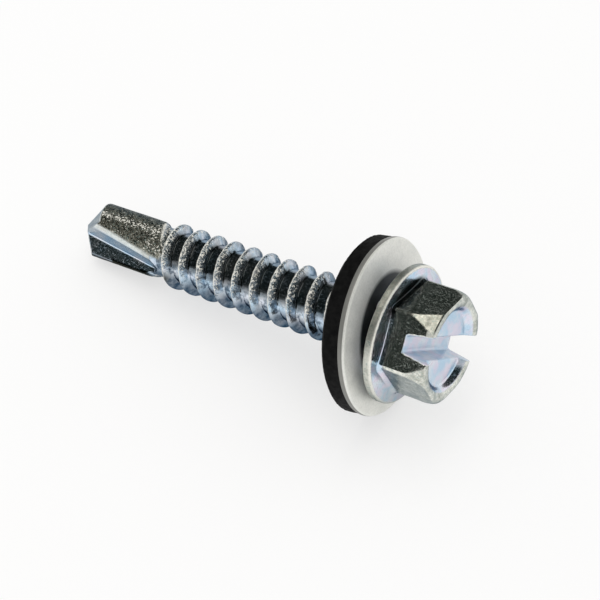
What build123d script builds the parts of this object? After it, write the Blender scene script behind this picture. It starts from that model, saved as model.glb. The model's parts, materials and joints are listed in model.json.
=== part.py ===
from build123d import *
import os
from math import acos, asin, atan, atan2, cos, degrees, radians, sin, sqrt, tan

# A 5.5 x 32 mm self-drilling roofing screw with its sealing washer: a slotted, indented hexagon
# head on a round flange, a coarse tapping thread and a forged drill point with two flutes.
# It lies as it comes to rest, on the heel of its drill point and on the rim of its washer.
# Heights along the screw are measured from the underside of the flange, positive towards the
# head. Turns about the axis start from straight up, anticlockwise as the head is seen.

# Shank and thread
length = 32.0
thread_dia = 5.46
root_dia = 4.17
thread_pitch = 1.8
thread_angle = 60
crest_width = 0.24
thread_phase = -2.0  # height of one crest on the upper side
thread_overlap = 0.3  # of the thread's start onto the drill's shoulder
thread_fade = 0.8  # length over which the thread sinks into the core at either end
neck_dia = 4.6
neck_length = 3.6
neck_taper = 0.4
under_head_radius = 0.25

# Drill point
drill_dia = 4.85
drill_length = 8.9
shoulder_length = 0.5
shoulder_radius = 0.3
point_angle = 107
relief_angle = 12  # how far the cone of each end face leans, to fall away behind its lip
relief_turn = -15.5
flute_turn = 40.3
flute_length = 8.7
flute_run_out = 1.2
flute_root_radius = 0.18
web_tip = 0.8  # thickness between the two flute floors, at the point and at the back
web_back = 1.1
root_tip = 0.55  # offset of the flute's corner from the centre line
root_back = 1.6
heel_tip = -0.45  # offset of the edge between the flute's wall and the chamfer of the land
heel_back = 1.05
heel_inset = 0.2
land_tip = -0.7  # offset of the edge between that chamfer and the land
land_back = 0.3

# Head
flange_dia = 11.2
flange_rim = 0.68
flange_rise = 0.22
rim_radius = 0.15
hex_across = 8.0
hex_turn = 50.5
hex_base_radius = 0.32
head_height = 4.58
corner_height = 3.0  # where the crown begins to take the corners off
crown_draft = 14
crown_radius = 0.35
recess_dia = 6.9
recess_floor_dia = 6.0
recess_depth = 0.56
slot_depth = 2.13
slot_width = 1.35
slot_draft = 9
slot_radius = 0.2

# Sealing washer, loose on the neck
washer_dia = 14.2
steel_thickness = 0.5
steel_bore = 5.8
steel_edge = 0.25
rubber_thickness = 1.5
rubber_bore = 5.2
rubber_inset = 0.05
rubber_edge = 0.25
washer_gap = 1.15  # from the flange to the washer, on the axis
washer_lean = 5.1
washer_yaw = -5.2

# The drill's heel under the axis: where the leaning cone of that end face meets the land.
lean = radians(relief_angle)
cone_angle = radians(point_angle / 2) - lean
heel_turn = radians(180 - flute_turn - 90 - relief_turn)
heel_reach = sqrt((sin(lean) * cos(heel_turn)) ** 2 + cos(lean) ** 2)
heel_angle = acos(cos(cone_angle) / heel_reach) + atan2(sin(lean) * cos(heel_turn), cos(lean))
heel_height = -length + drill_dia / 2 / tan(heel_angle)

# The washer's axis, as parts up, aside and along the screw. Its bonded face crosses the axis.
bond_height = -washer_gap - steel_thickness
rubber_dia = washer_dia - 2 * rubber_inset
washer_up = sin(radians(washer_lean))
washer_aside = sin(radians(washer_yaw))
washer_along = sqrt(1 - washer_up**2 - washer_aside**2)

# The rise at which heel and washer touch the ground together, settled in a few rounds.
rise = 0.0
for settling in range(8):
    washer_rise = washer_up * cos(rise) + washer_along * sin(rise)
    rim_drop = (rubber_thickness - rubber_edge) * washer_rise
    rim_drop = rim_drop + rubber_dia / 2 * sqrt(1 - washer_rise**2)
    rise = asin((rim_drop - drill_dia / 2 * cos(rise)) / (bond_height - heel_height))

# The flange's underside lies at this plane's origin, the axis along Z and the upper side along X.
corner_radius = hex_across / 2 / cos(radians(30))
crown_slope = tan(radians(crown_draft))
crown_top_radius = corner_radius - (head_height - corner_height) * crown_slope
crown_flat_radius = crown_top_radius - crown_radius / tan(radians(45 + crown_draft / 2))
reach_back = length * cos(rise)
reach_front = (head_height - crown_radius) * cos(rise) + crown_flat_radius * sin(rise) + crown_radius
axis_height = drill_dia / 2 * cos(rise) - heel_height * sin(rise)
washer_across = sqrt(1 - washer_aside**2)
reach_left = washer_dia / 2 * washer_across - (steel_thickness - steel_edge) * washer_aside
reach_right = rubber_dia / 2 * washer_across - (rubber_thickness - rubber_edge) * washer_aside
lying = Plane(
    origin=((reach_back - reach_front) / 2, (reach_right - reach_left) / 2, axis_height),
    x_dir=(-sin(rise), 0, cos(rise)),
    z_dir=(cos(rise), 0, sin(rise)),
)
bond_plane = Plane(
    lying.from_local_coords((0, 0, bond_height)),
    x_dir=lying.x_dir,
    z_dir=lying.from_local_coords((washer_up, washer_aside, washer_along)) - lying.origin,
)
washer_profile = Plane(bond_plane.origin, x_dir=bond_plane.x_dir, z_dir=-bond_plane.y_dir)
washer_axis = Axis(bond_plane.origin, bond_plane.z_dir)

# Threaded length, from the first full crest to the last. The tooth is swept on a helix, and on
# a tightening helix at either end, where it sinks into the core.
core_start = -length + drill_length + shoulder_length
core_end = -neck_length
thread_start = core_start - thread_overlap
full_start = thread_start + thread_fade
full_length = core_end - thread_start - 2 * thread_fade
thread_turn = 360 * (full_start - thread_phase) / thread_pitch
tooth_base = root_dia / 2 - 0.15
base_width = crest_width + (thread_dia - 2 * tooth_base) * tan(radians(thread_angle / 2))
sink_angle = degrees(atan(((thread_dia - root_dia) / 2 + 0.05) / thread_fade))

with BuildSketch(Plane.XZ) as tooth:
    with BuildLine():
        Polyline(
            (tooth_base, -base_width / 2),
            (thread_dia / 2, -crest_width / 2),
            (thread_dia / 2, crest_width / 2),
            (tooth_base, base_width / 2),
            close=True,
        )
    make_face()

with BuildPart() as fade:
    with BuildLine() as tightening:
        Helix(thread_pitch, thread_fade, root_dia / 2, cone_angle=-sink_angle)
    add(tooth.sketch)
    sweep(path=tightening.line, is_frenet=True)

with BuildPart() as threaded:
    with BuildSketch(Plane.XY.offset(-thread_fade)):
        Circle(root_dia / 2)
    extrude(amount=full_length + 2 * thread_fade)
    with BuildLine() as helix:
        Helix(thread_pitch, full_length, root_dia / 2)
    add(tooth.sketch)
    sweep(path=helix.line, is_frenet=True)
    with Locations(Location((0, 0, 0), (180, 0, 0))):
        add(fade.part)
    with Locations(Location((0, 0, full_length), (0, 0, 360 * full_length / thread_pitch))):
        add(fade.part)

# End of the drill point: two cones, each leaning away from its lip to give the heel relief.
cone_turn = radians(flute_turn + 90 + relief_turn)
cone_profile = Plane(
    origin=(0, 0, -length),
    x_dir=(cos(lean) * cos(cone_turn), cos(lean) * sin(cone_turn), -sin(lean)),
    z_dir=(sin(cone_turn), -cos(cone_turn), 0),
)
cone_height = drill_length + 2 * shoulder_length

with BuildPart() as cone:
    with BuildSketch(cone_profile):
        with BuildLine():
            Polyline((0, 0), (cone_height * tan(cone_angle), cone_height), (0, cone_height), close=True)
        make_face()
    revolve(axis=Axis(cone_profile.origin, cone_profile.y_dir))

with BuildPart() as point:
    with PolarLocations(0, 2):
        add(cone.part)


# Flute: sections lofted from the point to the back of the drill, where the last ones lift out.
def between(tip, back, share):
    return tip + (back - tip) * share


point_plane = Plane.XY.offset(-length).rotated((0, 0, flute_turn))

with BuildPart() as flute:
    for height, lift in (
        (-0.5, 0),
        (flute_length, 0),
        (flute_length + 0.6 * flute_run_out, 0.3),
        (flute_length + flute_run_out, 1),
    ):
        share = min(height / flute_length, 1)
        shift = lift * drill_dia / 2
        floor = between(web_tip, web_back, share) / 2
        root = between(root_tip, root_back, share)
        heel = between(heel_tip, heel_back, share)
        land = between(land_tip, land_back, share)
        heel_x = sqrt((drill_dia / 2 - heel_inset) ** 2 - heel**2)
        land_x = sqrt((drill_dia / 2) ** 2 - land**2)
        rim = heel + (land - heel) * (drill_dia - heel_x) / (land_x - heel_x)
        with BuildSketch(point_plane.offset(height)) as section:
            with BuildLine():
                Polyline(
                    (floor + shift, drill_dia),
                    (floor + shift, root),
                    (heel_x + shift, heel),
                    (drill_dia + shift, rim),
                    (drill_dia + shift, drill_dia),
                    close=True,
                )
            make_face()
            corner = section.vertices().sort_by_distance((floor + shift, root))[0]
            fillet(corner, flute_root_radius)
    loft(ruled=True)

with BuildPart() as drill:
    with BuildSketch(Plane.XZ) as body:
        with BuildLine():
            Polyline(
                (0, -length),
                (drill_dia / 2, -length),
                (drill_dia / 2, -length + drill_length),
                (root_dia / 2, core_start),
                (0, core_start),
                close=True,
            )
        make_face()
        fillet(body.vertices().filter_by_position(Axis.Y, -length + 1, core_start - 0.01), shoulder_radius)
    revolve()
    add(point.part, mode=Mode.INTERSECT)

# Head: a hexagon with its corners taken off, on a flange, indented and slotted at the top.
hex_plane = Plane.XY.rotated((0, 0, hex_turn))
slot_flare = slot_width + 2 * head_height * tan(radians(slot_draft))
slot_floor = head_height - slot_depth

with BuildPart() as head:
    with BuildSketch(hex_plane.offset(flange_rim / 2)):
        RegularPolygon(hex_across / 2, 6, major_radius=False, rotation=30)
    extrude(amount=head_height - flange_rim / 2)
    with BuildSketch(Plane.XZ) as crown:
        with BuildLine():
            Polyline(
                (0, 0),
                (corner_radius + corner_height * crown_slope, 0),
                (crown_top_radius, head_height),
                (0, head_height),
                close=True,
            )
        make_face()
        fillet(crown.vertices().group_by(Axis.Y)[-1].sort_by(Axis.X)[-1], crown_radius)
    revolve(mode=Mode.INTERSECT)
    with BuildSketch(Plane.XZ) as flange:
        with BuildLine():
            Polyline(
                (0, 0),
                (flange_dia / 2, 0),
                (flange_dia / 2, flange_rim),
                (hex_across / 2, flange_rim + flange_rise),
                (0, flange_rim + flange_rise),
                close=True,
            )
        make_face()
        fillet(flange.vertices().sort_by(Axis.X)[-2:], rim_radius)
    revolve()
    feet = head.edges().filter_by(GeomType.HYPERBOLA).filter_by_position(Axis.Z, 0, corner_height / 2)
    fillet(feet, hex_base_radius)
    with BuildSketch(Plane.XZ):
        with BuildLine():
            Polyline(
                (0, head_height - recess_depth),
                (recess_floor_dia / 2, head_height - recess_depth),
                (recess_dia / 2, head_height),
                (recess_dia / 2 + recess_depth, head_height + recess_depth),
                (0, head_height + recess_depth),
                close=True,
            )
        make_face()
    revolve(mode=Mode.SUBTRACT)
    with BuildSketch(Plane(hex_plane.origin, x_dir=hex_plane.y_dir, z_dir=hex_plane.x_dir)) as slot:
        with BuildLine():
            Polyline(
                (-slot_width / 2, slot_floor),
                (slot_width / 2, slot_floor),
                (slot_flare / 2, slot_floor + head_height),
                (-slot_flare / 2, slot_floor + head_height),
                close=True,
            )
        make_face()
        fillet(slot.vertices().group_by(Axis.Y)[0], slot_radius)
    extrude(amount=flange_dia / 2, both=True, mode=Mode.SUBTRACT)

# Screw: one forged and rolled piece.
with BuildPart() as upright:
    with Locations(Location((0, 0, full_start), (0, 0, thread_turn))):
        add(threaded.part)
    add(drill.part)
    with PolarLocations(0, 2):
        add(flute.part, mode=Mode.SUBTRACT)
    with BuildSketch(Plane.XZ) as neck:
        with BuildLine():
            Polyline(
                (0, core_end - neck_taper),
                (root_dia / 2, core_end - neck_taper),
                (neck_dia / 2, core_end),
                (neck_dia / 2, -under_head_radius),
                (neck_dia / 2 + under_head_radius, 0),
                (neck_dia / 2 + under_head_radius, flange_rim / 2),
                (0, flange_rim / 2),
                close=True,
            )
        make_face()
    revolve()
    add(head.part)

with BuildPart(lying) as screw:
    add(upright.part)

# Sealing washer: a steel washer and the rubber bonded under it.
with BuildPart() as steel_washer:
    with BuildSketch(washer_profile) as steel:
        with Locations((steel_bore / 2, 0)):
            Rectangle((washer_dia - steel_bore) / 2, steel_thickness, align=(Align.MIN, Align.MIN))
        fillet(steel.vertices().group_by(Axis.X)[-1].sort_by(Axis.Y)[-1], steel_edge)
    revolve(axis=washer_axis)

with BuildPart() as rubber_washer:
    with BuildSketch(washer_profile) as rubber:
        with Locations((rubber_bore / 2, 0)):
            Rectangle((rubber_dia - rubber_bore) / 2, rubber_thickness, align=(Align.MIN, Align.MAX))
        chamfer(rubber.vertices().group_by(Axis.X)[-1].sort_by(Axis.Y)[0], rubber_edge)
    revolve(axis=washer_axis)

os.makedirs("parts", exist_ok=True)
screw.part.label = "screw"
export_step(screw.part, "parts/screw.step")
steel_washer.part.label = "steel_washer"
export_step(steel_washer.part, "parts/steel_washer.step")
rubber_washer.part.label = "rubber_washer"
export_step(rubber_washer.part, "parts/rubber_washer.step")
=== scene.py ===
import json
import math

import bmesh
import bpy
import numpy as np
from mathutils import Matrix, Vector


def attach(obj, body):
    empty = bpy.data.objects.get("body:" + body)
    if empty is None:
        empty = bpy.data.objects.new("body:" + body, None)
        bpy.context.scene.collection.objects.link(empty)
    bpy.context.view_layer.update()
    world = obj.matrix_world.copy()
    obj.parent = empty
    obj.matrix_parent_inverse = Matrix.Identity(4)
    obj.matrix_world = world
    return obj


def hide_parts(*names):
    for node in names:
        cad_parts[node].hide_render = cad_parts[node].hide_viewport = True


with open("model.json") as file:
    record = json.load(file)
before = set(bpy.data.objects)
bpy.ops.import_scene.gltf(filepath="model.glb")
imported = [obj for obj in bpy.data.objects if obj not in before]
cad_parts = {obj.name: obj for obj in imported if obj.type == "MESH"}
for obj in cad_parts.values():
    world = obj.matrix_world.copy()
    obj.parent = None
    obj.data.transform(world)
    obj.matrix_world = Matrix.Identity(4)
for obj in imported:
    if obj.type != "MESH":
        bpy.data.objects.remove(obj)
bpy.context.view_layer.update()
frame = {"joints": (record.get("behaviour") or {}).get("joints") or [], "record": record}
print("frame loaded")

mm = 0.001
farOff = 9.0  # a reach past everything on the screw, mm
tiny = 1e-6

# how the screw lies: heights run along it, positive towards the head, from the flange's underside
mounts = {mount["name"]: mount for mount in frame["record"]["mounts"]}
headHeight = 4.58
axisDir = Vector(mounts["hex_drive"]["axis"]).normalized()
upDir = Vector((-axisDir.z, 0.0, axisDir.x)).normalized()
sideDir = axisDir.cross(upDir)
seat = Vector(mounts["hex_drive"]["pos_m"]) - axisDir * headHeight * mm
screwAxes = np.array([upDir, sideDir, axisDir])

# the washer leans on the neck, about the centre of its bonded face
spin = frame["joints"][0]
washerDir = Vector(spin["axis"]).normalized()
washerUp = (upDir - washerDir * upDir.dot(washerDir)).normalized()
washerAxes = np.array([washerUp, washerDir.cross(washerUp), washerDir])
washerSeat = Vector(spin["pos_m"])


def placed(points, origin, axes):
    return np.array(origin) + (np.asarray(points) * mm) @ axes


# smooth wandering between about -1 and 1, a few waves that run every way, the same on every run
def wander(x, y, z, size, seed):
    chance = np.random.default_rng(seed)
    waves = 7
    total = 0.0
    for wave in range(waves):
        heading = chance.normal(size=3)
        heading = heading / np.linalg.norm(heading) * 2 * math.pi / size * chance.uniform(0.6, 1.5)
        start = chance.uniform(0, 6.3)
        total = total + np.sin(x * heading[0] + y * heading[1] + z * heading[2] + start)
    return total * 2 / waves


def softMax(a, b, k):
    return np.maximum(a, b) + np.maximum(k - np.abs(a - b), 0.0) ** 2 / (4 * k)


def softMin(a, b, k):
    return -softMax(-a, -b, k)


# two solids' common part and their union, with the edge between them rounded to k
def roundedCut(a, b, k):
    return np.minimum(-k, np.maximum(a, b)) + np.hypot(np.maximum(a + k, 0.0), np.maximum(b + k, 0.0))


def roundedJoin(a, b, k):
    return np.maximum(k, np.minimum(a, b)) - np.hypot(np.maximum(k - a, 0.0), np.maximum(k - b, 0.0))


# from 0 to 1 over a stretch that starts at a value, and falling where the stretch is negative
def ramp(value, start, stretch):
    return np.clip((value - start) / stretch, 0, 1)


# 1 at the middle and fading to either side
def hump(value, middle, spread):
    return np.exp(-((value - middle) / spread) ** 2)


def link(name, data):
    thing = bpy.data.objects.new(name, data)
    bpy.context.scene.collection.objects.link(thing)
    return thing


def makeMesh(name, points, faces):
    mesh = bpy.data.meshes.new(name)
    mesh.from_pydata(points.tolist(), [], faces)
    mesh.validate()
    return link(name, mesh)


# four-sided faces between rings of points, the last ring joined to the first where it is closed
def ringFaces(rings, columns, closed=False):
    ring = np.arange(columns)
    after = (ring + 1) % columns
    faces = []
    for row in range(rings if closed else rings - 1):
        a, b = row * columns, (row + 1) % rings * columns
        faces.append(np.stack([a + ring, a + after, b + after, b + ring], axis=1))
    return np.concatenate(faces).tolist()


# the points of rings round an axis, from arrays of radius, turn and height
def ringPoints(radius, turn, height):
    return np.stack([radius * np.cos(turn), radius * np.sin(turn), height], axis=-1).reshape(-1, 3)


def paintOn(mesh, name, values):
    attribute = mesh.attributes.new(name, "FLOAT", "POINT")
    attribute.data.foreach_set("value", np.asarray(values, np.float32))


thread = {
    "pitch": 1.8, "phase": -2.0, "crestRadius": 2.73, "crestWidth": 0.24, "flankAngle": 30.0,
    "first": -22.1, "last": -4.4, "fade": 0.8, "sink": 0.05, "runIn": 1.5, "crestRound": 0.1,
    "rootRound": 0.04, "seam": 0.03, "seamSize": 0.8, "seamRadius": 3, "blend": 0.05,
    "rowStep": 0.062, "rowsTo": -3.5,
}
shank = {
    "coreRadius": 2.085, "neckStart": -4.0, "neckFull": -3.6, "neckRadius": 2.3, "neckRows": 12,
    "seam": -0.72,  # where the head's own skin takes over
}
drill = {
    "tip": -32.0, "radius": 2.425, "lean": 12.0, "leanTurn": -15.5, "pointAngle": 107.0,
    "backEarly": -24.3, "backLate": -21.9, "backTurns": (-100, 7, 80),
    "shoulder": 0.45, "shoulderRound": 0.12,
    "fluteTurn": 40.3, "fluteLength": 8.7, "runOut": 1.2, "runOutShares": (0.0, 0.6, 1.0),
    "runOutLifts": (0.0, 0.3, 1.0), "web": (0.4, 0.55), "root": (0.55, 1.6), "rootRound": 0.22,
    "heel": (-0.45, 1.05), "heelInset": 0.2, "land": (-0.7, 0.3), "landRoughness": 0.014, "landGrain": 0.9,
    "landFade": (0.1, -0.2), "chamferFrom": 0.3, "chamferFade": 2.6,
    "pointRows": 12, "rows": 66, "evening": 3.0, "firstGuess": 2.0, "settlings": 12,
    # columns on the chamfer beside the land, the wall, the corner, the floor and the land itself
    "columns": (4, 12, 5, 9, 26), "cornerStep": 0.16,
}
tall = thread["crestRadius"] - shank["coreRadius"]
flankSlope = math.tan(math.radians(thread["flankAngle"]))
fluteTurn = math.radians(drill["fluteTurn"])
fluteEnd = drill["tip"] + drill["fluteLength"]


# height above the nearest crest, whose seam wanders a little
def crestOffset(turn, height):
    along = (height - thread["phase"]) / thread["pitch"] - turn / (2 * math.pi)
    offset = (along - np.round(along)) * thread["pitch"]
    x, y = thread["seamRadius"] * np.cos(turn), thread["seamRadius"] * np.sin(turn)
    aside = wander(x, y, height - offset, thread["seamSize"], 5)
    return offset + thread["seam"] * aside


def threadRadius(turn, height):
    offset = crestOffset(turn, height)
    crestAt = height - offset
    flank = tall + (thread["crestWidth"] / 2 - np.abs(offset)) / flankSlope
    sunk = np.clip(np.maximum(thread["first"] - crestAt, crestAt - thread["last"]) / thread["fade"], 0, 1)
    tooth = softMin(flank, tall, thread["crestRound"]) - sunk * (tall + thread["sink"])
    return shank["coreRadius"] + softMax(tooth, 0.0, thread["rootRound"])


# each land ends early behind its lip and late at its heel
def landEnd(drillTurn):
    ends = (drill["backEarly"], drill["backLate"], drill["backEarly"])
    return np.interp(drillTurn, np.radians(drill["backTurns"]), ends, period=math.pi)


# round stock: drill with the flat beside each land, shoulder, core, neck
def stockRadius(drillTurn, height):
    core, neck = shank["coreRadius"], shank["neckRadius"]
    past = height - landEnd(drillTurn)
    shoulder = drill["radius"] - past * (drill["radius"] - core) / drill["shoulder"]
    shoulder = softMin(shoulder, drill["radius"], drill["shoulderRound"])
    web, root, heelX, heel, landX, land = fluteSection(np.minimum(height, fluteEnd))
    for half in (0.0, math.pi):
        cosine, sine = np.cos(drillTurn - half), np.sin(drillTurn - half)
        shoulder = np.minimum(shoulder, reach(cosine, sine, heelX, heel, landX, land))
    thickening = np.interp(height, (shank["neckStart"], shank["neckFull"]), (0.0, neck - core))
    return softMax(shoulder, core, drill["shoulderRound"]) + thickening


# a flute's section at a height: corner of floor and wall, heel, and edge of the land
def fluteSection(height):
    along = height - drill["tip"]
    share = np.clip(along / drill["fluteLength"], 0, 1)
    stops = drill["fluteLength"] + drill["runOut"] * np.array(drill["runOutShares"])
    shift = np.interp(along, stops, drill["runOutLifts"]) * drill["radius"]
    ends = [drill[key] for key in ("web", "root", "heel", "land")]
    web, root, heel, land = (tip + (back - tip) * share for tip, back in ends)
    heelX = np.sqrt((drill["radius"] - drill["heelInset"]) ** 2 - heel**2)
    landX = np.sqrt(drill["radius"] ** 2 - land**2)
    return web + shift, root, heelX + shift, heel, landX + shift, land


# how far a ray from the axis runs before it meets a flat whose far side is open
def reach(cosine, sine, x0, y0, x1, y1):
    facing = -(y1 - y0) * cosine + (x1 - x0) * sine
    depth = -(y1 - y0) * x0 + (x1 - x0) * y0
    return np.where(facing > tiny, np.minimum(depth / np.maximum(facing, tiny), farOff), farOff)


def fluteRadius(turn, height):
    web, root, heelX, heel, landX, land = fluteSection(height)
    least = farOff
    for half in (0.0, math.pi):
        cosine, sine = np.cos(turn - half), np.sin(turn - half)
        floor = reach(cosine, sine, web, root + 1, web, root)
        wall = reach(cosine, sine, web, root, heelX, heel)
        chamfer = reach(cosine, sine, heelX, heel, landX, land)
        least = np.minimum(least, softMax(floor, np.minimum(wall, chamfer), drill["rootRound"]))
    return least


def shankRadius(turn, height):
    drillTurn = turn - fluteTurn
    rolled = np.where(height > thread["first"] - thread["runIn"], threadRadius(turn, height), 0.0)
    whole = softMax(stockRadius(drillTurn, height), rolled, thread["blend"])
    return np.minimum(whole, fluteRadius(drillTurn, height))


# rise of the end faces over their radius: two cones that lean away from their lips
def pointSlope(turn):
    lean = math.radians(drill["lean"])
    spread = math.cos(math.radians(drill["pointAngle"] / 2) - lean)
    lipTurn = math.radians(drill["fluteTurn"] + 90 + drill["leanTurn"])
    towardsLip = np.abs(math.sin(lean) * np.cos(turn - lipTurn))
    a = math.cos(lean) ** 2 - spread**2
    b = towardsLip * math.cos(lean)
    return (-b + np.sqrt(b**2 - a * (towardsLip**2 - spread**2))) / a


# turns of the columns of one half of the drill, so that its edges fall on columns
def columnTurns(height):
    web, root, heelX, heel, landX, land = fluteSection(np.minimum(height, fluteEnd))
    wallLength = np.hypot(heelX - web, root - heel)
    step = drill["cornerStep"]
    landTurn = np.arctan2(land, landX)
    stops = (
        landTurn,
        np.arctan2(heel, heelX),
        np.arctan2(root - step * (root - heel) / wallLength, web + step * (heelX - web) / wallLength),
        np.arctan2(root + step, web),
        np.arccos(web / drill["radius"]),
        landTurn + math.pi,
    )
    turns = []
    for start, end, count in zip(stops, stops[1:], drill["columns"]):
        turns += [start + (end - start) * n / count for n in range(count)]
    half = np.stack(turns, axis=-1)
    return np.concatenate([half, half + math.pi], axis=-1) + fluteTurn


# radius, height and turn of every point from the end faces to the neck, ring by ring
def shankRings():
    columns = 2 * sum(drill["columns"])
    pick = np.arange(columns)
    crease = np.full(columns, drill["tip"] + drill["firstGuess"])
    for settling in range(drill["settlings"]):
        turn = columnTurns(crease)[pick, pick]
        crease = drill["tip"] + pointSlope(turn) * shankRadius(turn, crease)
    rings = []
    creaseTurn = columnTurns(crease)[pick, pick]
    creaseRadius = shankRadius(creaseTurn, crease)
    for row in range(1, drill["pointRows"]):  # end faces, straight from the point
        radius = creaseRadius * row / drill["pointRows"]
        rings.append((radius, drill["tip"] + pointSlope(creaseTurn) * radius, creaseTurn))
    for row in range(drill["rows"]):
        height = crease + (fluteEnd - crease) * row / drill["rows"]
        turn = columnTurns(height)[pick, pick]
        rings.append((shankRadius(turn, height), height, turn))
    drillTurn = columnTurns(np.array(fluteEnd))
    evenTurn = drillTurn[0] + 2 * math.pi * pick / columns
    evenTurn = evenTurn + np.mean(drillTurn - evenTurn)
    heights = np.arange(fluteEnd, thread["rowsTo"], thread["rowStep"])
    heights = np.concatenate([heights, np.linspace(heights[-1], shank["seam"], shank["neckRows"])[1:]])
    for level in heights:
        height = np.full(columns, level)
        ease = ramp(level, fluteEnd + drill["runOut"], drill["evening"])
        turn = drillTurn + (evenTurn - drillTurn) * ease * ease * (3 - 2 * ease)
        rings.append((shankRadius(turn, height), height, turn))
    return (np.array(values) for values in zip(*rings))


# 1 on the dark forged lands, fading over the chamfers beside them
def landShare(height, turn):
    rows, columns = height.shape
    chamfer = drill["columns"][0]
    landFrom = sum(drill["columns"][:-1]) + 1
    share = np.zeros((rows, columns))
    for half in (0, columns // 2):
        share[drill["pointRows"]:, half + landFrom:half + columns // 2] = 1
        along = (height[:, half:half + chamfer] - drill["tip"]) / drill["fluteLength"]
        fading = np.clip(drill["chamferFade"] * along - np.arange(chamfer), 0, 1)
        share[:, half:half + chamfer] = fading * (along > drill["chamferFrom"])
    return share * ramp(height - landEnd(turn - fluteTurn), *drill["landFade"])


head = {
    "across": 8.0, "turn": 50.5, "cornerRound": 0.2,
    # the corners' degrees round the hexagon, then one value for each
    "cornerTurns": (-90, -30, 30, 90, 150, 210),
    "crownStarts": (3.5, 2.4, 2.9, 3.4, 3.0, 3.1), "crownRounds": (0.3, 0.1, 0.2, 0.3, 0.3, 0.3),
    "recessLips": (0.26, 0.12, 0.2, 0.26, 0.26, 0.26), "crownDraft": 14.0, "edgeRound": 0.1,
    "flangeRadius": 5.6, "flangeRim": 0.68, "flangeRise": 0.22, "rimRound": 0.16, "footRound": 0.32,
    "recessRadius": 3.45, "recessFloor": 3.0, "recessDepth": 0.56, "recessRound": 0.12,
    "slotDepth": 2.13, "slotWidth": 1.35, "slotDraft": 9.0, "slotFloorRound": 0.2, "slotEdgeRound": 0.13,
    "neckFillet": 0.3, "waviness": 0.018, "waveSize": 2.6, "gridStep": 0.102, "gridMargin": 0.3,
    "sharpAngle": 32,
}
slotFloor = headHeight - head["slotDepth"]
slotDraft = math.radians(head["slotDraft"])


# u runs along the slot, v across it, h is the height
def hexDistance(u, v):
    half = head["across"] / 2
    flatU = np.abs(u) - half
    flatA = np.abs(u * 0.5 + v * math.sqrt(0.75)) - half
    flatB = np.abs(u * 0.5 - v * math.sqrt(0.75)) - half
    return roundedCut(roundedCut(flatU, flatA, head["cornerRound"]), flatB, head["cornerRound"])


# the die fills each corner to its own height, and each wears round in its own way
def cornerValue(u, v, key):
    return np.interp(np.degrees(np.arctan2(v, u)), head["cornerTurns"], head[key], period=360)


def crownDistance(u, v, h):
    draft = math.radians(head["crownDraft"])
    cornerRadius = head["across"] / 2 / math.cos(math.radians(30))
    over = np.hypot(u, v) - cornerRadius
    return (over - (cornerValue(u, v, "crownStarts") - h) * math.tan(draft)) * math.cos(draft)


# below zero inside the head
def headDistance(u, v, h):
    radius = np.hypot(u, v)
    crown = roundedCut(crownDistance(u, v, h), h - headHeight, cornerValue(u, v, "crownRounds"))
    block = roundedCut(hexDistance(u, v), crown, head["edgeRound"])
    block = block + head["waviness"] * np.abs(wander(u, v, h, head["waveSize"], 11))
    rise = math.atan2(head["flangeRise"], head["flangeRadius"] - head["across"] / 2)
    flangeTop = (h - head["flangeRim"] - (head["flangeRadius"] - radius) * math.tan(rise)) * math.cos(rise)
    flange = roundedCut(flangeTop, radius - head["flangeRadius"], head["rimRound"])
    flange = roundedCut(flange, -h, head["rimRound"])
    whole = roundedJoin(flange, block, head["footRound"])
    recessRise = (head["recessRadius"] - head["recessFloor"]) / head["recessDepth"]
    recessFloor = headHeight - head["recessDepth"]
    wall = (radius - head["recessFloor"] - (h - recessFloor) * recessRise) / math.hypot(1, recessRise)
    recess = roundedCut(wall, recessFloor - h, head["recessRound"])
    whole = roundedCut(whole, -recess, cornerValue(u, v, "recessLips"))
    slotSide = np.abs(v) - head["slotWidth"] / 2 - (h - slotFloor) * math.tan(slotDraft)
    slot = roundedCut(slotSide * math.cos(slotDraft), slotFloor - h, head["slotFloorRound"])
    whole = roundedCut(whole, -slot, head["slotEdgeRound"])
    neck = np.maximum(radius - shank["neckRadius"], h - head["flangeRim"] / 2)
    return roundedJoin(whole, neck, head["neckFillet"])


# the skin of a solid given by its distance, one point in every cell that it crosses
def skin(distance, low, high, step):
    axes = [np.arange(a, b + step, step) for a, b in zip(low, high)]
    depth = distance(*np.meshgrid(*axes, indexing="ij"))
    inside = depth < 0
    cells = tuple(n - 1 for n in depth.shape)
    corners = {
        (i, j, k): tuple(slice(n, n + size) for n, size in zip((i, j, k), cells))
        for i in (0, 1) for j in (0, 1) for k in (0, 1)
    }
    count = sum(inside[block].astype(int) for block in corners.values())
    total = np.zeros(cells + (3,))
    crossings = np.zeros(cells)
    for start in corners:
        for along in range(3):
            if start[along] == 1:
                continue
            end = tuple(1 if n == along else start[n] for n in range(3))
            a, b = depth[corners[start]], depth[corners[end]]
            crossed = (a < 0) != (b < 0)
            share = np.where(crossed, a / np.where(crossed, a - b, 1.0), 0.0)
            for n in range(3):
                place = start[n] + (share if n == along else 0.0)
                total[..., n] += np.where(crossed, place, 0.0)
            crossings += crossed
    used = (count > 0) & (count < 8)
    where = np.argwhere(used)
    points = np.array(low) + step * (where + total[used] / crossings[used][:, None])
    number = np.full(cells, -1)
    number[used] = np.arange(len(where))
    faces = np.concatenate([facesAcross(inside, number, along) for along in range(3)])
    for settling in range(3):
        points = points - normalsOf(distance, points) * distance(*points.T)[:, None]
    return points, faces, normalsOf(distance, points)


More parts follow.
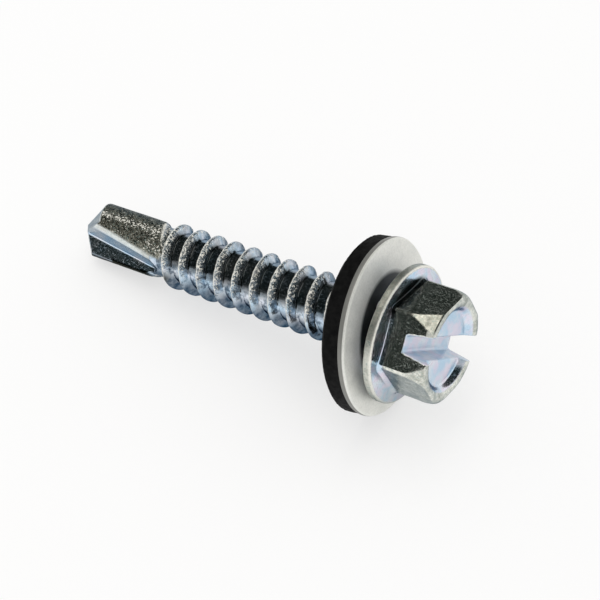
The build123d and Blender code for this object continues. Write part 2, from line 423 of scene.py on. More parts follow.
# a face for every step along one axis that goes in or out of the solid
def facesAcross(inside, number, along):
    a, b = ((1, 2), (2, 0), (0, 1))[along]
    first, second = [slice(1, -1)] * 3, [slice(1, -1)] * 3
    first[along], second[along] = slice(0, -1), slice(1, None)
    start, end = inside[tuple(first)], inside[tuple(second)]
    offset = np.ones(3, int)
    offset[along] = 0
    spots = np.argwhere(start != end) + offset
    corners = []
    for stepA, stepB in ((-1, -1), (0, -1), (0, 0), (-1, 0)):
        cell = spots.copy()
        cell[:, a] += stepA
        cell[:, b] += stepB
        corners.append(number[tuple(cell.T)])
    faces = np.stack(corners, axis=1)
    leaving = start[start != end]
    faces[~leaving] = faces[~leaving][:, ::-1]
    return faces


def normalsOf(distance, points):
    nudge = 0.01
    ends = [(points + nudge * side, points - nudge * side) for side in np.eye(3)]
    slope = np.stack([distance(*after.T) - distance(*before.T) for after, before in ends], axis=1)
    return slope / np.linalg.norm(slope, axis=1)[:, None]


# where highlights and shade are painted on the steel, and where it is gritty or rubbed: a hump has a middle
# and a spread, a ramp a start and a stretch, and a pair of rows has degrees round the lying screw, from its
# top down its near side, and shares
wear = {
    "threadedFrom": (-2.0, 0.3), "threadedTo": -1.0,
    "streakTurn": 5.5, "streakSpread": 8.0,
    "shoulderFrom": (-0.15, 0.15), "shoulderTo": (0.6, -0.3), "shoulderReach": 50.0, "shoulderShare": 0.6,
    "gritRadius": (2.24, 0.4), "gritAndGlintTurns": ((-60, -10, 12, 48, 68, 96), (0.3, 0.45, 1, 1, 0.4, 0)),
    "crestLip": (-0.1, 0.07), "crestRadius": (2.5, 0.1), "lipFrom": -1.6,
    "crestTurns": ((-70, -40, 65, 90, 125), (0.3, 1, 1, 0.5, 0)),
    "crescent": (0.02, 0.13), "crescentTurns": ((-50, -30, 12, 30), (0, 1, 1, 0)), "crescentRadius": 2.15,
    "pitAndShade": (0.42, 0.16), "pitTurns": ((-50, -30, 30, 50), (0, 1, 1, 0)), "pitTo": 0.4,
    "lowPit": (-21.3, 0.25), "lowPitTurn": 92.0, "lowPitSpread": 13.0, "lowPitReach": 40.0,
    "lowPitTo": -21.0,
    "valleySpread": 0.13, "valleyShare": 0.75, "valleyRadius": (2.55, -0.25), "valleyFrom": -0.4,
    "valleyTurns": ((-40, -10, 62, 76), (0, 1, 1, 0)),
    "lowerAbout": 10.0, "lower": (25.0, 40.0),
    "underAbout": 20.0, "under": (58.0, 26.0), "underFrom": -1.4, "underRadius": 2.2,
    "groundPoint": 0.75, "groundChamfer": 0.75, "groundWall": 0.45,
}
headWear = {
    "slotBelow": 0.06, "slotAside": 0.05, "slotShare": 1.6,
    "rubbedRadius": (3.42, 0.06), "rubbedHeight": (1.1, 0.12), "rim": (5.42, 0.06),
    "rimLip": (0.66, 0.08), "rimLipFrom": 5.4, "rimLipTurns": ((75, 125), (1, 0.15)),
    "underTurns": ((90, 125, 165, 180), (0, 0.4, 0.4, 0)), "underTo": 1.1,
    "recessFrom": 3.9, "recessRadius": 2.97, "recessBySlot": 3.5, "bySlot": 1.5,
    "cutFrom": 4.0, "cutOutside": 2.4, "cutAside": (1.7, -0.3),
    "crowned": (-0.01, 0.03), "crownedFrom": 1.5,
    # these degrees run round the hexagon
    "footTurns": ((-95, -82, -26, -16), (0, 1, 1, 0)), "footHeight": (1.5, -0.2), "footFrom": 0.7,
    "footRadius": (4.9, -0.25),
}


# shares of painted shade, painted highlights, grit and wear at every point of the shank
def paintShank(radius, height, turn, land):
    sideTurn = np.degrees(np.remainder(turn + math.pi, 2 * math.pi) - math.pi)
    threadPast = height - thread["first"]
    landPast = height - landEnd(turn - fluteTurn)
    threaded = ramp(threadPast, *wear["threadedFrom"]) * (height < wear["threadedTo"])
    # a painted highlight streak along the middle of each land, a painted highlight on the shoulder behind
    # it, and grit with painted glints on the upper side of the thread
    aside = np.remainder(turn - math.radians(wear["streakTurn"]) + math.pi / 2, math.pi) - math.pi / 2
    highlightStreak = hump(aside, 0, math.radians(wear["streakSpread"])) * land
    shoulder = ramp(landPast, *wear["shoulderFrom"]) * ramp(threadPast, *wear["shoulderTo"])
    shoulder = shoulder * wear["shoulderShare"] * (np.abs(aside) < math.radians(wear["shoulderReach"]))
    gritAndGlints = threaded * ramp(radius, *wear["gritRadius"]) * np.interp(sideTurn, *wear["gritAndGlintTurns"])
    # painted highlights: a bright lip along the crest's early side, and a bright crescent where each land
    # ends, both on the upper side
    offset = crestOffset(turn, height)
    crestLip = hump(offset, *wear["crestLip"]) * ramp(radius, *wear["crestRadius"])
    crestLip = crestLip * np.interp(sideTurn, *wear["crestTurns"])
    crescent = hump(landPast, *wear["crescent"]) * np.interp(sideTurn, *wear["crescentTurns"])
    crescent = crescent * (radius > wear["crescentRadius"])
    # painted shade in the valleys and at the foot of the flank on the upper side, and dark patches painted
    # as shade behind the lands' ends and low on the drill's near side
    foot = thread["crestWidth"] / 2 + tall * flankSlope
    hollow = wear["valleyShare"] * ramp(radius, *wear["valleyRadius"])
    valley = np.maximum(hump(offset, foot, wear["valleySpread"]), hollow)
    valley = valley * np.interp(sideTurn, *wear["valleyTurns"]) * (threadPast > wear["valleyFrom"])
    pitAndShade = hump(landPast, *wear["pitAndShade"]) * np.interp(sideTurn, *wear["pitTurns"])
    pitAndShade = pitAndShade + hump(height, *wear["lowPit"]) * hump(sideTurn, wear["lowPitTurn"], wear["lowPitSpread"])
    low = (np.abs(sideTurn - wear["lowPitTurn"]) < wear["lowPitReach"]) & (height < wear["lowPitTo"])
    pitAndShade = pitAndShade * ((threadPast < wear["pitTo"]) | low)
    # painted shade on the underside, and of the drill only on what stands out
    under = ramp(np.abs(sideTurn - wear["underAbout"]), *wear["under"])
    under = under * ((threadPast >= wear["underFrom"]) | (radius > wear["underRadius"]))
    # end faces, chamfers and flute walls are ground
    ground = np.zeros(radius.shape)
    first, last = drill["pointRows"], drill["pointRows"] + drill["rows"]
    chamfer, wall = drill["columns"][:2]
    ground[:first] = wear["groundPoint"]
    for half in (0, radius.shape[1] // 2):
        ground[first:last, half:half + chamfer] = wear["groundChamfer"]
        ground[first:last, half + chamfer:half + chamfer + wall] = wear["groundWall"]
    return {
        "land": land,
        "highlightStreak": highlightStreak,
        "gritAndGlints": np.maximum(gritAndGlints, shoulder),
        "threaded": threaded,
        "lip": np.maximum(crestLip, crescent) * (threadPast > wear["lipFrom"]),
        "paintedShade": np.maximum(valley, pitAndShade),
        "lower": ramp(np.abs(sideTurn - wear["lowerAbout"]), *wear["lower"]),
        "under": under,
        "handled": np.maximum(land, ground),
    }


# the same for the head, from its points and from their degrees round the lying screw
def paintHead(points, sideTurn):
    u, v, h = points.T
    radius = np.hypot(u, v)
    above = h - slotFloor
    slotSide = head["slotWidth"] / 2 + above * math.tan(slotDraft) + headWear["slotAside"]
    slotted = (above > -headWear["slotBelow"]) * (np.abs(v) < slotSide)
    # a wrench or a neighbour rubs the flats, the crown and the rim
    rubbed = (1 - slotted) * ramp(radius, *headWear["rubbedRadius"]) * ramp(h, *headWear["rubbedHeight"])
    rim = ramp(radius, *headWear["rim"])
    # the slot, the recess and two edges cut beside the slot's ends shine less
    cutEdge = (h > headWear["cutFrom"]) * (np.abs(u) > headWear["cutOutside"]) * (v * u < 0)
    cutEdge = cutEdge * ramp(np.abs(v), *headWear["cutAside"])
    bySlot = np.abs(v) < headWear["bySlot"]
    recess = np.where(bySlot, headWear["recessBySlot"], headWear["recessRadius"])
    recessed = (h > headWear["recessFrom"]) * (radius < recess)
    crowned = ramp(crownDistance(u, v, h) - hexDistance(u, v), *headWear["crowned"])
    # painted shade in the corner round the hexagon's foot, on the side that lies uppermost
    paintedShade = np.interp(np.degrees(np.arctan2(v, u)), *headWear["footTurns"]) * (h > headWear["footFrom"])
    paintedShade = paintedShade * ramp(h, *headWear["footHeight"]) * ramp(radius, *headWear["footRadius"])
    # a painted highlight along the top edge of the flange's rim, full on the upper side and fading towards
    # the underside
    rimLip = hump(h, *headWear["rimLip"]) * (radius > headWear["rimLipFrom"])
    return {
        "lip": rimLip * np.interp(sideTurn, *headWear["rimLipTurns"]),
        "paintedShade": paintedShade,
        # painted shade on the flange, on the lower side of the lying screw
        "under": np.interp(sideTurn, *headWear["underTurns"]) * (h < headWear["underTo"]),
        "pocket": np.maximum(np.maximum(slotted, cutEdge) * headWear["slotShare"], recessed),
        "crowned": crowned * (h > headWear["crownedFrom"]),
        "rim": rim,
        "handled": np.maximum(rim, rubbed),
    }


def buildScrew():
    radius, height, turn = shankRings()
    rows, columns = radius.shape
    land = landShare(height, turn)
    rough = wander(radius * np.cos(turn), radius * np.sin(turn), height, drill["landGrain"], 3)
    radius = radius - drill["landRoughness"] * np.abs(rough) * land
    apex = rows * columns
    faces = ringFaces(rows, columns) + [[apex, (n + 1) % columns, n] for n in range(columns)]
    shankPoints = np.concatenate([ringPoints(radius, turn, height), [[0, 0, drill["tip"]]]])
    out = head["flangeRadius"] + head["gridMargin"]
    low, high = (-out, -out, -2 * head["gridMargin"]), (out, out, headHeight + head["gridMargin"])
    points, quads, normals = skin(headDistance, low, high, head["gridStep"])
    faces += (quads + len(shankPoints)).tolist()
    c, s = math.cos(math.radians(head["turn"])), math.sin(math.radians(head["turn"]))
    swing = np.array([[c, s, 0], [-s, c, 0], [0, 0, 1]])
    headPoints = points @ swing
    whole = np.concatenate([shankPoints, headPoints])
    screw = makeMesh("screw_forged", placed(whole, seat, screwAxes), faces)
    mesh = screw.data
    # close the neck between the shank's last ring and the head
    work = bmesh.new()
    work.from_mesh(mesh)
    bmesh.ops.bridge_loops(work, edges=[edge for edge in work.edges if edge.is_boundary])
    bmesh.ops.recalc_face_normals(work, faces=work.faces)
    work.to_mesh(mesh)
    work.free()
    onShank = paintShank(radius, height, turn, land)
    onHead = paintHead(points, np.degrees(np.arctan2(headPoints[:, 1], headPoints[:, 0])))
    for name in {**onShank, **onHead}:
        before = onShank.get(name, np.zeros(radius.shape)).reshape(-1)
        after = onHead.get(name, np.zeros(len(points)))
        paintOn(mesh, name, np.concatenate([before, [0], after]))
    paintOn(mesh, "along", whole[:, 2])
    mesh.shade_smooth()
    mesh.set_sharp_from_angle(angle=math.radians(head["sharpAngle"]))
    # the shank's corners keep their own normals, the head takes those of its solid
    given = np.concatenate([np.zeros(shankPoints.shape), normals @ swing @ screwAxes])
    mesh.normals_split_custom_set_from_vertices(given.tolist())
    return screw


screw = buildScrew()
print("screw built:", len(screw.data.polygons), "faces")

washerSharpAngle = 40
steelWasher = {
    "radius": 7.1, "bore": 2.9, "thickness": 0.5, "edge": 0.25, "backEdge": 0.06, "boreEdge": 0.1,
    "columns": 200, "waveCircle": 7, "waveSize": 5.0, "waveDepth": 0.02, "waveFrom": (6.5, 0.4),
    "dentSize": 3.0, "dentDepth": 0.016, "dentFrom": 0.5,
    # painted shade in the gap under the flange, and the outer edge darker
    "paintedGapShade": (4.68, -0.4), "paintedGapShadeFrom": 0.3, "edged": (6.98, 0.06), "edgedTo": 0.36,
}
rubberWasher = {
    "radius": 7.05, "bore": 2.6, "thickness": 1.5, "bevel": 0.25, "boreBevel": 0.08, "columns": 220,
    "ragged": 0.03, "raggedSize": 0.7, "fineSize": 0.28, "fineShare": 0.6,
    "raggedRadius": (6.3, 0.3), "raggedHeight": (0.0, -0.15),
}


# a ring turned from its half section, a closed loop of (radius, height) points
def turned(name, section, columns, worn):
    section = np.array(section)
    turn = np.tile(2 * math.pi * np.arange(columns) / columns, (len(section), 1))
    radius, height = (np.repeat(side[:, None], columns, axis=1) for side in section.T)
    radius, height = worn(radius, height, turn)
    points = placed(ringPoints(radius, turn, height), washerSeat, washerAxes)
    piece = makeMesh(name, points, ringFaces(len(section), columns, closed=True))
    piece.data.shade_smooth()
    piece.data.set_sharp_from_angle(angle=math.radians(washerSharpAngle))
    return piece


def arc(x, y, radius, start, end, steps):
    turns = [math.radians(start + (end - start) * n / steps) for n in range(steps + 1)]
    return [(x + radius * math.cos(t), y + radius * math.sin(t)) for t in turns]


# the points between two ends, without the ends
def straight(x0, y0, x1, y1, steps):
    return [(x0 + (x1 - x0) * n / steps, y0 + (y1 - y0) * n / steps) for n in range(1, steps)]


def steelSection():
    w = steelWasher
    out, bore, deep = w["radius"], w["bore"], w["thickness"]
    back, edge, inner = w["backEdge"], w["edge"], w["boreEdge"]
    section = arc(out - back, back, back, -90, 0, 3)
    section += straight(out, back, out, deep - edge, 4)
    section += arc(out - edge, deep - edge, edge, 0, 90, 8)
    section += straight(out - edge, deep, bore + inner, deep, 34)
    section += arc(bore + inner, deep - inner, inner, 90, 180, 4)
    section += straight(bore, deep - inner, bore, 0, 4)
    section += [(bore, 0.0)] + straight(bore, 0, out - back, 0, 30)
    return section


def steelWorn(radius, height, turn):
    w = steelWasher
    x, y = np.cos(turn) * w["waveCircle"], np.sin(turn) * w["waveCircle"]
    wave = np.abs(wander(x, y, height, w["waveSize"], 21))
    front = np.clip(height / w["thickness"] - w["dentFrom"], 0, 1)
    dent = np.abs(wander(radius * np.cos(turn), radius * np.sin(turn), 0 * turn, w["dentSize"], 22))
    worn = radius - w["waveDepth"] * wave * ramp(radius, *w["waveFrom"])
    return worn, height - w["dentDepth"] * dent * front


def rubberSection():
    w = rubberWasher
    out, bore, deep = w["radius"], w["bore"], -w["thickness"]
    bevel, inner = w["bevel"], w["boreBevel"]
    section = [(bore, 0.0), (bore, deep * 0.5), (bore, deep + inner), (bore + inner, deep)]
    section += straight(bore + inner, deep, out - bevel, deep, 24) + [(out - bevel, deep)]
    section += straight(out - bevel, deep, out, deep + bevel, 4)
    section += [(out, deep + bevel)] + straight(out, deep + bevel, out, 0, 10)
    section += [(out, 0.0)] + straight(out, 0, bore, 0, 24)
    return section


def rubberWorn(radius, height, turn):
    w = rubberWasher
    x, y = radius * np.cos(turn), radius * np.sin(turn)
    outer = ramp(radius, *w["raggedRadius"]) * ramp(height, *w["raggedHeight"])
    ragged = np.abs(wander(x, y, height, w["raggedSize"], 31))
    ragged = ragged + w["fineShare"] * np.abs(wander(x, y, height, w["fineSize"], 32))
    return radius - w["ragged"] * ragged * outer, height


steel = turned("washer_steel", steelSection(), steelWasher["columns"], steelWorn)
fromCentre, upThrough = np.array(steelSection()).T
paintedGapShade = ramp(fromCentre, *steelWasher["paintedGapShade"]) * (upThrough > steelWasher["paintedGapShadeFrom"])
edged = ramp(fromCentre, *steelWasher["edged"]) * (upThrough < steelWasher["edgedTo"])
paintOn(steel.data, "paintedGapShade", np.repeat(paintedGapShade, steelWasher["columns"]))
paintOn(steel.data, "edged", np.repeat(edged, steelWasher["columns"]))
rubber = turned("washer_rubber", rubberSection(), rubberWasher["columns"], rubberWorn)
print("washer built:", len(steel.data.polygons) + len(rubber.data.polygons), "faces")


class Finish:
    def __init__(self, name):
        self.material = bpy.data.materials.new(name)
        self.material.use_nodes = True
        self.tree = self.material.node_tree
        self.shader = self.tree.nodes["Principled BSDF"]
        self.place = self.tree.nodes.new("ShaderNodeTexCoord").outputs["Object"]

    def put(self, socket, value):
        if isinstance(value, bpy.types.NodeSocket):
            self.tree.links.new(value, socket)
        else:
            socket.default_value = (*value, 1) if isinstance(value, tuple) and len(value) == 3 else value

    # what the surface gets under one of the shader's own names
    def give(self, name, value):
        self.put(self.shader.inputs[name], value)

    # i0, i1 and so on stand for a node's first, second and later input
    def node(self, kind, settings=(), **sockets):
        made = self.tree.nodes.new(kind)
        for name, value in dict(settings).items():
            setattr(made, name, value)
        for name, value in sockets.items():
            self.put(made.inputs[int(name[1:]) if name[0] == "i" and name[1:].isdigit() else name], value)
        return made

    # grain of about that size in mm, 0 to 1
    def grain(self, size, detail=3.0, rough=0.55, stretch=None):
        place = self.place
        if stretch:
            place = self.node("ShaderNodeMapping", i0=place, i3=list(stretch)).outputs[0]
        grain = {"Vector": place, "Scale": 1 / (size * mm), "Detail": detail, "Roughness": rough}
        return self.node("ShaderNodeTexNoise", **grain).outputs[0]

    def between(self, value, low, high, newLow=0.0, newHigh=1.0):
        return self.node("ShaderNodeMapRange", i0=value, i1=low, i2=high, i3=newLow, i4=newHigh).outputs[0]

    # patches where a grain rises from its low value to its high one
    def patches(self, grain, *stretch):
        return self.between(self.grain(*grain), *stretch)

    def mixed(self, share, a, b):
        return self.node("ShaderNodeMix", {"data_type": "RGBA"}, i0=share, i6=a, i7=b).outputs[2]

    def maths(self, kind, a, b):
        return self.node("ShaderNodeMath", {"operation": kind}, i0=a, i1=b).outputs[0]

    def times(self, a, b):
        return self.maths("MULTIPLY", a, b)

    def plus(self, a, b):
        return self.maths("ADD", a, b)

    def less(self, a, b):
        return self.maths("SUBTRACT", a, b)

    def larger(self, a, b):
        return self.maths("MAXIMUM", a, b)

    def painted(self, name):
        return self.node("ShaderNodeAttribute", {"attribute_name": name}).outputs["Fac"]

    # depth in mm, over the bumps under it
    def bump(self, height, depth, strength=1.0, under=None):
        made = self.node("ShaderNodeBump", Height=height, Distance=depth * mm, Strength=strength)
        if under is not None:
            self.tree.links.new(under, made.inputs["Normal"])
        return made.outputs[0]


# a grain is its size in mm, detail and roughness; behind it come the values where its patches begin and
# are full, and what they are worth there
zinc = {
    "cool": (0.55, 0.72, 0.87), "pale": (0.79, 0.85, 0.91), "blush": (0.88, 0.74, 0.85),
    "navy": (0.04, 0.075, 0.12), "rubbed": (0.88, 0.88, 0.81), "speck": (0.34, 0.36, 0.31),
    "pitAndShade": (0.028, 0.03, 0.024), "burnish": (0.4, 0.39, 0.32), "fleckAndGlint": (0.98, 0.96, 0.87),
    "grimeAndShade": (0.4, 0.5, 0.46), "edgeTint": (0.32, 0.37, 0.43),
    "cloudGrain": (1.6, 3), "clouds": (0.38, 0.62), "cloudDullness": (0.3, 0.7, 0.14, 0.24),
    "shankTo": (-1.5, -1.0, 1.0, 0.0),
    "blushPatches": ((1.1, 2), 0.46, 0.6), "blushShares": (0, 1, 0.6, 0.15),
    "mottledShade": ((0.7, 5, 0.65), 0.44, 0.62), "mottledShadeShares": (0, 1, 0.05, 0.9),
    "shade": ((0.6, 4, 0.6), 0.35, 0.6, 1, 0.75), "paintedShadeShare": 0.95,
    "rubbedSpecks": ((0.4, 4, 0.65), 0.35, 0.65, 0, 0.6), "rubbedPatches": ((1.2, 2), 0.3, 0.5, 0.4, 1.0),
    "crownSpecks": ((0.28, 4, 0.7), 0.42, 0.62), "crownShare": 0.7,
    "pitGrain": (0.24, 4, 0.7), "pits": (0.4, 0.6), "gritAndGlints": ((0.17, 3, 0.7), 0.4, 0.6), "gritShare": 0.35,
    "frostGrain": (0.17, 3, 0.65), "landFlecks": (0.63, 0.69), "streakMore": 0.15,
    "gritGlints": (0.61, 0.66), "gritMore": 0.1, "gritFrosted": (0.02, 0.25),
    "lipGlints": (0.34, 0.46, 0.5, 1.0), "dust": ((0.2, 4, 0.6, (1.0, 1.5, 1.5)), 0.53, 0.72),
    "dustDulls": 0.34, "fleckDulls": 0.85, "pocketDulls": 0.4,
    "landRough": 0.1, "gritRough": 0.06, "rimRough": 0.2, "crownRough": 0.1,
    "bumpGrain": (0.35, 3), "bumpDepth": 0.012, "bumpStrength": 0.5, "pitDepth": 0.16, "frostDepth": 0.12,
    "turningLines": 14.0, "lineDetail": 3.0, "lineDepth": 0.03,
}


def zincFinish():
    f = Finish("bright_zinc")
    f.give("Specular Tint", zinc["edgeTint"])
    land, highlightStreak, gritAndGlints, threaded = (f.painted(name) for name in ("land", "highlightStreak", "gritAndGlints", "threaded"))
    lip, paintedShade, lower, under = (f.painted(name) for name in ("lip", "paintedShade", "lower", "under"))
    rim, pocket, crowned, along = (f.painted(name) for name in ("rim", "pocket", "crowned", "along"))
    onShank = f.between(along, *zinc["shankTo"])
    cloud = f.grain(*zinc["cloudGrain"])
    colour = f.mixed(f.between(cloud, *zinc["clouds"]), zinc["cool"], zinc["pale"])
    blush = f.times(f.patches(*zinc["blushPatches"]), f.between(onShank, *zinc["blushShares"]))
    colour = f.mixed(blush, colour, zinc["blush"])
    # painted shade: darker mottles, mostly on the lower side of the rolled shank, and navy on the shank's
    # underside
    mottledShade = f.patches(*zinc["mottledShade"])
    mottledShade = f.times(mottledShade, f.times(threaded, f.between(lower, *zinc["mottledShadeShares"])))
    shade = f.times(under, f.patches(*zinc["shade"]))
    colour = f.mixed(f.larger(mottledShade, f.times(shade, onShank)), colour, zinc["navy"])
    # painted shade in the upper valleys, the pits and the corner round the hexagon's foot
    colour = f.mixed(f.times(paintedShade, zinc["paintedShadeShare"]), colour, zinc["pitAndShade"])
    # handled zinc is rubbed pale, with specks
    rubbed = f.mixed(f.patches(*zinc["rubbedSpecks"]), zinc["rubbed"], zinc["speck"])
    rubbed = f.mixed(f.patches(*zinc["rubbedPatches"]), zinc["rubbed"], rubbed)
    worn = f.patches(*zinc["crownSpecks"])
    rubbed = f.mixed(f.times(worn, f.times(crowned, zinc["crownShare"])), rubbed, zinc["speck"])
    colour = f.mixed(f.painted("handled"), colour, rubbed)
    # painted shade on the lower side of the flange
    colour = f.mixed(f.times(under, f.less(1.0, onShank)), colour, zinc["speck"])
    # the forged lands are dark and pitted
    pits = f.between(f.grain(*zinc["pitGrain"]), *zinc["pits"])
    colour = f.mixed(land, colour, f.mixed(pits, zinc["pitAndShade"], zinc["burnish"]))
    # painted shade on the drill's underside, where it stands out
    colour = f.mixed(f.times(under, f.less(onShank, threaded)), colour, zinc["pitAndShade"])
    # painted reflection: dark and burnished mottles in the grit on the upper side of the thread and on the
    # shoulder
    specks = f.patches(*zinc["gritAndGlints"])
    gritAndGlintMix = f.times(gritAndGlints, zinc["gritShare"])
    colour = f.mixed(gritAndGlintMix, colour, f.mixed(specks, zinc["speck"], zinc["burnish"]))
    # painted glints: pale, less metallic flecks, sparse on the lands and dense in their highlight streak,
    # on the upper side of the thread and along the highlight lips
    frost = f.grain(*zinc["frostGrain"])
    landFrost = f.plus(frost, f.times(highlightStreak, zinc["streakMore"]))
    landFleck = f.times(f.between(landFrost, *zinc["landFlecks"]), land)
    gritFrost = f.plus(frost, f.times(gritAndGlints, zinc["gritMore"]))
    gritGlint = f.times(f.between(gritFrost, *zinc["gritGlints"]), f.between(gritAndGlints, *zinc["gritFrosted"]))
    lipGlint = f.times(lip, f.between(frost, *zinc["lipGlints"]))
    fleckAndGlint = f.larger(f.larger(landFleck, gritGlint), lipGlint)
    dusty = f.patches(*zinc["dust"])
    colour = f.mixed(dusty, colour, f.mixed(f.painted("handled"), colour, zinc["grimeAndShade"]))
    colour = f.mixed(fleckAndGlint, colour, zinc["fleckAndGlint"])
    f.give("Base Color", colour)
    dust = f.times(dusty, zinc["dustDulls"])
    dull = f.larger(f.times(fleckAndGlint, zinc["fleckDulls"]), f.times(pocket, zinc["pocketDulls"]))
    f.give("Metallic", f.less(1.0, f.larger(dull, dust)))
    rough = f.between(cloud, *zinc["cloudDullness"])
    rougher = ((land, "landRough"), (gritAndGlints, "gritRough"), (rim, "rimRough"), (crowned, "crownRough"))
    for share, more in rougher:
        rough = f.plus(rough, f.times(share, zinc[more]))
    f.give("Roughness", rough)
    bumps = f.bump(f.grain(*zinc["bumpGrain"]), zinc["bumpDepth"], zinc["bumpStrength"])
    bumps = f.bump(f.times(f.grain(*zinc["pitGrain"]), land), zinc["pitDepth"], under=bumps)
    bumps = f.bump(f.times(frost, gritAndGlints), zinc["frostDepth"], under=bumps)
    # turning lines round the flange's rim
    lines = {"W": along, "Scale": zinc["turningLines"], "Detail": zinc["lineDetail"]}
    lines = f.node("ShaderNodeTexNoise", {"noise_dimensions": "1D"}, **lines).outputs[0]
    f.give("Normal", f.bump(f.times(lines, rim), zinc["lineDepth"], under=bumps))
    return f.material


dullSteel = {
    "low": (0.82, 0.825, 0.78), "high": (0.92, 0.92, 0.87), "speck": (0.6, 0.61, 0.56),
    "dark": (0.14, 0.14, 0.13), "grimeAndShade": (0.02, 0.025, 0.025), "metallic": 0.35,
    "cloudGrain": (1.4, 4), "clouds": (0.35, 0.65), "cloudDullness": (0.3, 0.7, 0.38, 0.46),
    "specks": ((0.16, 3, 0.7), 0.44, 0.62), "speckShare": 0.3, "edgeShare": 0.85,
    "bumpGrain": (0.2, 4, 0.65), "bumpDepth": 0.012, "bumpStrength": 0.6,
}


def steelFinish():
    f = Finish("dull_steel")
    f.give("Metallic", dullSteel["metallic"])
    cloud = f.grain(*dullSteel["cloudGrain"])
    colour = f.mixed(f.between(cloud, *dullSteel["clouds"]), dullSteel["low"], dullSteel["high"])
    speck = f.patches(*dullSteel["specks"])
    colour = f.mixed(f.times(speck, dullSteel["speckShare"]), colour, dullSteel["speck"])
    # the outer edge darker, and painted shade in the gap under the flange
    colour = f.mixed(f.times(f.painted("edged"), dullSteel["edgeShare"]), colour, dullSteel["dark"])
    colour = f.mixed(f.painted("paintedGapShade"), colour, dullSteel["grimeAndShade"])
    f.give("Base Color", colour)
    f.give("Roughness", f.between(cloud, *dullSteel["cloudDullness"]))
    bumps = f.bump(f.grain(*dullSteel["bumpGrain"]), dullSteel["bumpDepth"], dullSteel["bumpStrength"])
    f.give("Normal", bumps)
    return f.material


epdm = {
    "deep": (0.003, 0.003, 0.0035), "dusty": (0.008, 0.008, 0.008), "gloss": 0.1,
    "dust": ((0.5, 4), 0.35, 0.65), "dullness": ((0.3, 3), 0.3, 0.7, 0.6, 0.8),
    "bumpGrain": (0.12, 4, 0.7), "bumpDepth": 0.03, "bumpStrength": 0.8,
}


def rubberFinish():
    f = Finish("black_rubber")
    f.give("Specular IOR Level", epdm["gloss"])
    f.give("Base Color", f.mixed(f.patches(*epdm["dust"]), epdm["deep"], epdm["dusty"]))
    f.give("Roughness", f.patches(*epdm["dullness"]))
    f.give("Normal", f.bump(f.grain(*epdm["bumpGrain"]), epdm["bumpDepth"], epdm["bumpStrength"]))
    return f.material


for piece, finish, body, slot, node in (
    (screw, zincFinish(), "screw", "zinc_steel", "screw"),
    (steel, steelFinish(), "washer", "washer_steel", "steel_washer"),
    (rubber, rubberFinish(), "washer", "rubber", "rubber_washer"),
):
    piece.data.materials.append(finish)
    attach(piece, body)
    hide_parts(node)
print("finishes made")

# reaches in metres, the canopy's start in degrees above the floor
studio = {
    "floorReach": 1.5, "floorColour": (0.95, 0.95, 0.95), "glow": 0.6, "worldLevel": 0.86,
    "canopyRadius": 0.4, "canopyStart": 9.0, "canopyColour": (0.024, 0.031, 0.029),
    "canopyRows": 16, "canopyColumns": 48,
}
# aim and distance in mm
camera = {
    "aim": (-7.59, -2.613, 1.57), "distance": 117.0, "azimuth": -56.77, "elevation": 47.61,
    "lens": 90.59, "sensor": 36, "clipStart": 0.005,
}
# distance, width and depth in mm
lamp = {
    "azimuth": -175, "elevation": 79, "distance": 300, "width": 330, "depth": 100, "watts": 0.17,
    "colour": (1.0, 0.96, 0.88),
}


def towards(azimuth, elevation):
    a, e = math.radians(azimuth), math.radians(elevation)
    return Vector((math.cos(a) * math.cos(e), math.sin(a) * math.cos(e), math.sin(e)))


# seen, reflected or looked at through: the three kinds of ray that meet the pale background
def backgroundRays(tree):
    path = tree.nodes.new("ShaderNodeLightPath")
    total = path.outputs["Is Camera Ray"]
    for name in ("Is Glossy Ray", "Is Transmission Ray"):
        add = tree.nodes.new("ShaderNodeMath")
        add.operation = "MAXIMUM"
        tree.links.new(total, add.inputs[0])
        tree.links.new(path.outputs[name], add.inputs[1])
        total = add.outputs[0]
    return total


def mattMaterial(name, colour):
    material = bpy.data.materials.new(name)
    material.use_nodes = True
    shader = material.node_tree.nodes["Principled BSDF"]
    shader.inputs["Base Color"].default_value = (*colour, 1)
    shader.inputs["Roughness"].default_value = 1.0
    shader.inputs["Specular IOR Level"].default_value = 0.0
    return material


def buildFloor():
    r = studio["floorReach"]
    corners = np.array([(-r, -r, 0), (r, -r, 0), (r, r, 0), (-r, r, 0)])
    floor = makeMesh("floor", corners, [[0, 1, 2, 3]])
    material = mattMaterial("pale_floor", studio["floorColour"])
    tree = material.node_tree
    glow = tree.nodes.new("ShaderNodeEmission")
    glow.inputs["Strength"].default_value = 1.0
    share = tree.nodes.new("ShaderNodeMath")
    share.operation = "MULTIPLY"
    share.inputs[1].default_value = studio["glow"]
    tree.links.new(backgroundRays(tree), share.inputs[0])
    mix = tree.nodes.new("ShaderNodeMixShader")
    tree.links.new(share.outputs[0], mix.inputs[0])
    tree.links.new(tree.nodes["Principled BSDF"].outputs[0], mix.inputs[1])
    tree.links.new(glow.outputs[0], mix.inputs[2])
    tree.links.new(mix.outputs[0], tree.nodes["Material Output"].inputs["Surface"])
    floor.data.materials.append(material)


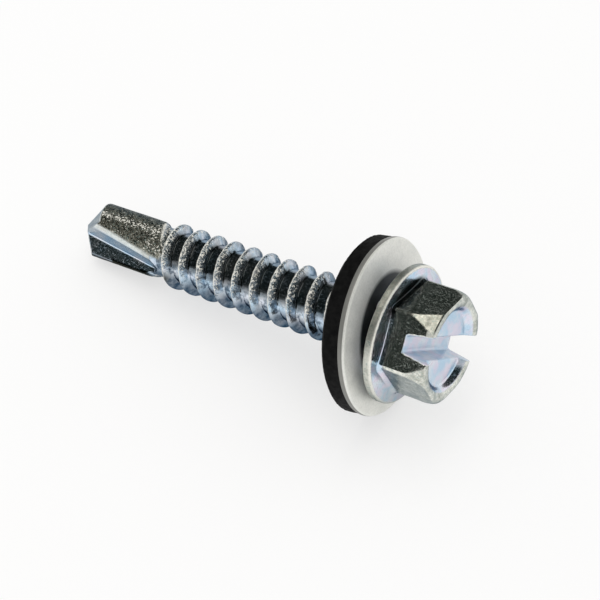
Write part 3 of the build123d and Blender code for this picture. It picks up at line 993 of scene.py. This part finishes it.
# a dark cloth stretched over the table, which only reflections meet
def buildCanopy():
    rows, columns, radius = studio["canopyRows"], studio["canopyColumns"], studio["canopyRadius"]
    points = []
    for row in range(rows):
        elevation = studio["canopyStart"] + (90 - studio["canopyStart"]) * row / rows
        points += [towards(360 * n / columns, elevation) * radius for n in range(columns)]
    points.append(Vector((0, 0, radius)))
    last = (rows - 1) * columns
    faces = ringFaces(rows, columns)
    faces += [[last + n, last + (n + 1) % columns, rows * columns] for n in range(columns)]
    canopy = makeMesh("canopy", np.array(points), faces)
    canopy.data.materials.append(mattMaterial("dark_cloth", studio["canopyColour"]))
    for ray in ("camera", "diffuse", "transmission", "shadow", "volume_scatter"):
        setattr(canopy, "visible_" + ray, False)


def buildLight():
    world = bpy.data.worlds.new("studio")
    bpy.context.scene.world = world
    world.use_nodes = True
    tree = world.node_tree
    back = tree.nodes["Background"]
    back.inputs["Color"].default_value = (1, 1, 1, 1)
    level = tree.nodes.new("ShaderNodeMapRange")
    tree.links.new(backgroundRays(tree), level.inputs[0])
    level.inputs[3].default_value = studio["worldLevel"]
    level.inputs[4].default_value = 1.0
    tree.links.new(level.outputs[0], back.inputs["Strength"])
    top = link("lamp_top", bpy.data.lights.new("lamp_top", "AREA"))
    away = towards(lamp["azimuth"], lamp["elevation"])
    top.location = away * lamp["distance"] * mm
    top.rotation_mode = "QUATERNION"
    top.rotation_quaternion = away.to_track_quat("Z", "Y")
    top.data.energy = lamp["watts"]
    top.data.color = lamp["colour"]
    top.data.shape = "RECTANGLE"
    top.data.size, top.data.size_y = lamp["width"] * mm, lamp["depth"] * mm


def buildCamera():
    away = towards(camera["azimuth"], camera["elevation"])
    cam = link("camera", bpy.data.cameras.new("camera"))
    cam.location = seat + (Vector(camera["aim"]) + away * camera["distance"]) * mm
    cam.rotation_mode = "QUATERNION"
    cam.rotation_quaternion = (-away).to_track_quat("-Z", "Y")
    cam.data.lens = camera["lens"]
    cam.data.sensor_width = camera["sensor"]
    cam.data.clip_start = camera["clipStart"]
    bpy.context.scene.camera = cam


buildFloor()
buildCanopy()
buildLight()
buildCamera()
bpy.context.scene.view_settings.view_transform = "Standard"
print("studio set")
